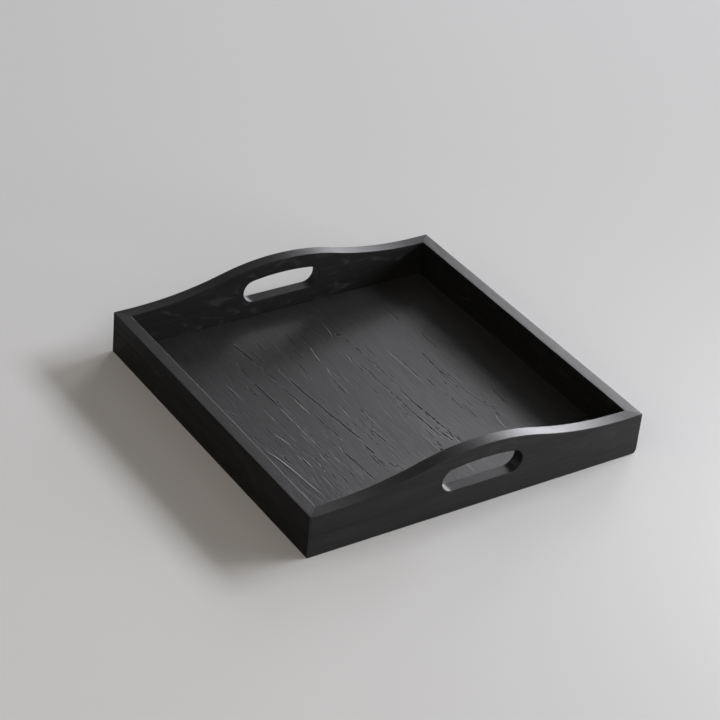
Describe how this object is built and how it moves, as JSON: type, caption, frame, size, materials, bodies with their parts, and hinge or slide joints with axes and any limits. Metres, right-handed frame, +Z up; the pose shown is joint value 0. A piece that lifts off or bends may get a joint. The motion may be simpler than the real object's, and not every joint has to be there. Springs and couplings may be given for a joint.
{
  "type": "serving tray",
  "caption": "Square black-stained teak serving tray with straight side rails, wave-topped handle ends with hand slots, mitred corners and a grooved-in split-grain floor.",
  "frame": {"origin": "middle of the footprint, on the surface that the tray stands on", "axes": "+Z up; X along the handle ends; Y from the front handle end (-Y) to the back handle end (+Y)"},
  "size_m": [0.4, 0.4, 0.0725],
  "materials": {
    "stained_teak": "open-grain teak stained black, satin",
    "stained_veneer": "open-grain teak veneer stained black, satin, with grain splits",
    "bare_core": "bare plywood core",
    "bare_hardwood": "bare planed hardwood"
  },
  "bodies": {
    "root": {"front_handle_end": "stained_teak", "back_handle_end": "stained_teak", "left_side_rail": "stained_teak", "right_side_rail": "stained_teak", "floor_face_ply": "stained_veneer", "floor_core_ply": "bare_core", "floor_back_ply": "stained_veneer", "front_left_mitre_spline": "bare_hardwood", "front_right_mitre_spline": "bare_hardwood", "back_left_mitre_spline": "bare_hardwood", "back_right_mitre_spline": "bare_hardwood"}
  },
  "joints": []
}
